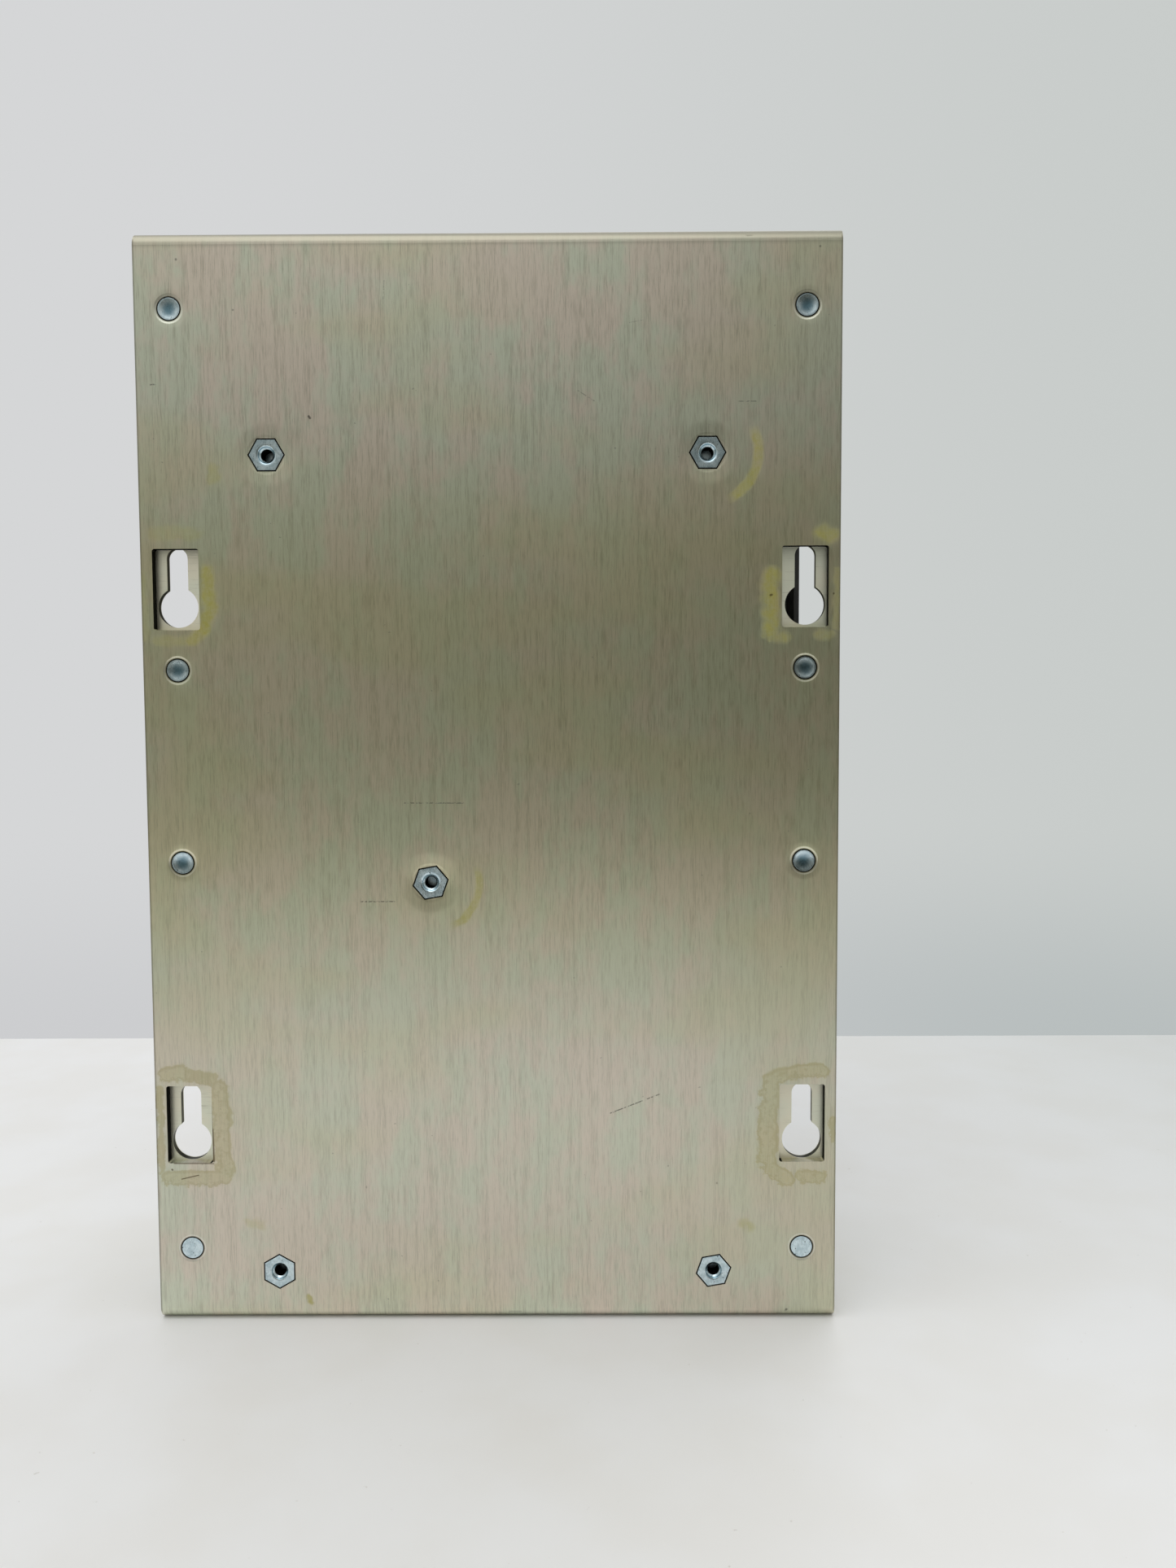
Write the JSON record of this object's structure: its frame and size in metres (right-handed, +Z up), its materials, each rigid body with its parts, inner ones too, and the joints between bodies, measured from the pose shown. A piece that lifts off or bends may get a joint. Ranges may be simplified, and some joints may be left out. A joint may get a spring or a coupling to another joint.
{
  "type": "subpanel enclosure",
  "caption": "Wall-hung aluminium subpanel enclosure: keyhole side channels, clinch-stud rear panel, hinged door, dead front cover and toggle switchgear on a rail.",
  "frame": {"origin": "middle of the footprint at the underside", "axes": "+Z up, +Y towards the door, -Y towards the wall, +X towards the hinge side"},
  "size_m": [0.172, 0.0794, 0.2714],
  "materials": {
    "panel_aluminium": "vertical brushed grain, chromate-treated",
    "channel_aluminium": "horizontal brushed grain, chromate-treated",
    "zinc": "blue zinc plating",
    "galvanised": "galvanised sheet",
    "cover_paint": "light grey powder coat",
    "door_paint": "black powder coat",
    "module_plastic": "moulded, fine texture",
    "toggle_plastic": "moulded",
    "main_toggle_plastic": "moulded",
    "brass": "bright, machined",
    "copper": "tinned copper colour",
    "support_plastic": "moulded",
    "bushing_rubber": "moulded",
    "knob_plastic": "moulded"
  },
  "bodies": {
    "chassis": {"rear_panel": "panel_aluminium", "side_channel_hinge": "channel_aluminium", "side_channel_latch": "channel_aluminium", "clinch_studs": "zinc", "stud_washers": "zinc", "stud_nuts": "zinc", "standoffs": "zinc", "component_plate": "galvanised", "standoff_screws": "zinc", "mounting_rail": "galvanised", "rail_screws": "zinc", "main_switch_body": "module_plastic", "terminal_screws": "zinc", "busbar_comb": "copper", "neutral_bar": "brass", "neutral_supports": "support_plastic", "neutral_screws": "zinc", "earth_bar": "brass", "earth_supports": "zinc", "earth_screws": "zinc", "earth_stud": "zinc", "earth_stud_nut": "zinc", "dead_front_cover": "cover_paint", "cover_screws": "zinc", "cable_apron": "cover_paint", "apron_screws": "zinc", "cable_bushings": "bushing_rubber", "hinge_fixed_leaf_lower": "zinc", "hinge_fixed_leaf_upper": "zinc", "hinge_pins": "zinc", "hinge_rivets": "zinc", "latch_keeper": "zinc", "keeper_rivets": "zinc", "breaker_1_body": "module_plastic", "breaker_2_body": "module_plastic", "breaker_3_body": "module_plastic", "breaker_4_body": "module_plastic", "breaker_5_body": "module_plastic"},
    "door": {"door": "door_paint", "hinge_door_leaf_lower": "zinc", "hinge_door_leaf_upper": "zinc", "latch_bezel": "zinc", "latch_nut": "zinc"},
    "latch": {"latch_knob": "knob_plastic", "latch_cam": "zinc", "latch_cam_screw": "zinc"},
    "main_toggle": {"main_switch_toggle": "main_toggle_plastic"},
    "breaker_toggle_1": {"breaker_1_toggle": "toggle_plastic"},
    "breaker_toggle_2": {"breaker_2_toggle": "toggle_plastic"},
    "breaker_toggle_3": {"breaker_3_toggle": "toggle_plastic"},
    "breaker_toggle_4": {"breaker_4_toggle": "toggle_plastic"},
    "breaker_toggle_5": {"breaker_5_toggle": "toggle_plastic"}
  },
  "joints": [
    {"name": "door_hinge", "type": "hinge", "parent": "chassis", "child": "door", "pos_m": [0.0834, 0.01925, 0.0453], "axis": [0, 0, -1], "range_deg": [0, 110]},
    {"name": "latch_turn", "type": "hinge", "parent": "door", "child": "latch", "pos_m": [-0.052, 0.02205, 0.112], "axis": [0, 1, 0], "range_deg": [0, 90]},
    {"name": "main_toggle_swing", "type": "hinge", "parent": "chassis", "child": "main_toggle", "pos_m": [0.04375, 0.01625, 0.1704], "axis": [1, 0, 0], "range_deg": [0, 76]},
    {"name": "breaker_1_swing", "type": "hinge", "parent": "chassis", "child": "breaker_toggle_1", "pos_m": [0.0175, 0.01625, 0.1704], "axis": [1, 0, 0], "range_deg": [0, 76]},
    {"name": "breaker_2_swing", "type": "hinge", "parent": "chassis", "child": "breaker_toggle_2", "pos_m": [0, 0.01625, 0.1704], "axis": [1, 0, 0], "range_deg": [0, 76]},
    {"name": "breaker_3_swing", "type": "hinge", "parent": "chassis", "child": "breaker_toggle_3", "pos_m": [-0.0175, 0.01625, 0.1704], "axis": [1, 0, 0], "range_deg": [0, 76]},
    {"name": "breaker_4_swing", "type": "hinge", "parent": "chassis", "child": "breaker_toggle_4", "pos_m": [-0.035, 0.01625, 0.1704], "axis": [1, 0, 0], "range_deg": [0, 76]},
    {"name": "breaker_5_swing", "type": "hinge", "parent": "chassis", "child": "breaker_toggle_5", "pos_m": [-0.0525, 0.01625, 0.1704], "axis": [1, 0, 0], "range_deg": [0, 76]}
  ]
}
